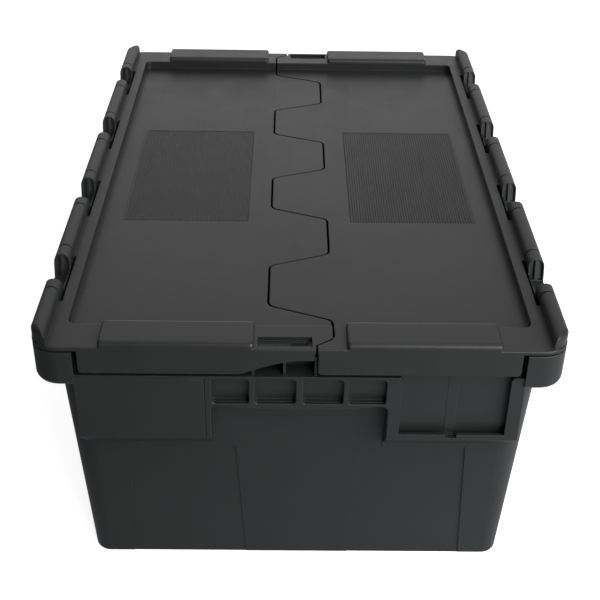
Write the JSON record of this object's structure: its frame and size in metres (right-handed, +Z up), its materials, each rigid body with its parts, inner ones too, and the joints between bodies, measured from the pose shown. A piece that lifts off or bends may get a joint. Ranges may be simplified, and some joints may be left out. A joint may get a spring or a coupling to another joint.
{
  "type": "attached lid tote",
  "caption": "Tapered plastic storage tote with two hinged half lids that interlock in a zigzag, end handles, label pads and label pockets.",
  "frame": {"origin": "middle of the underside, on the floor", "axes": "+Z up, +Y along the 600 mm length, +X across the 400 mm width; the hinges run along Y"},
  "size_m": [0.4, 0.6, 0.253],
  "materials": {
    "tote_plastic": "satin moulded polypropylene, dark grey",
    "lid_plastic": "satin moulded polypropylene, dark grey",
    "pin_plastic": "moulded acetal, near black"
  },
  "bodies": {
    "tote": {"tote_body": "tote_plastic", "hinge_pin_left_1": "pin_plastic", "hinge_pin_left_2": "pin_plastic", "hinge_pin_left_3": "pin_plastic", "hinge_pin_left_4": "pin_plastic", "hinge_pin_left_5": "pin_plastic", "hinge_pin_left_6": "pin_plastic", "hinge_pin_left_7": "pin_plastic", "hinge_pin_left_8": "pin_plastic", "hinge_pin_right_1": "pin_plastic", "hinge_pin_right_2": "pin_plastic", "hinge_pin_right_3": "pin_plastic", "hinge_pin_right_4": "pin_plastic", "hinge_pin_right_5": "pin_plastic", "hinge_pin_right_6": "pin_plastic", "hinge_pin_right_7": "pin_plastic", "hinge_pin_right_8": "pin_plastic"},
    "left_lid": {"lid_left": "lid_plastic"},
    "right_lid": {"lid_right": "lid_plastic"}
  },
  "joints": [
    {"name": "left_lid_hinge", "type": "hinge", "parent": "tote", "child": "left_lid", "pos_m": [-0.1935, 0, 0.2465], "axis": [0, -1, 0], "range_deg": [0, 250]},
    {"name": "right_lid_hinge", "type": "hinge", "parent": "tote", "child": "right_lid", "pos_m": [0.1935, 0, 0.2465], "axis": [0, 1, 0], "range_deg": [0, 250]}
  ]
}
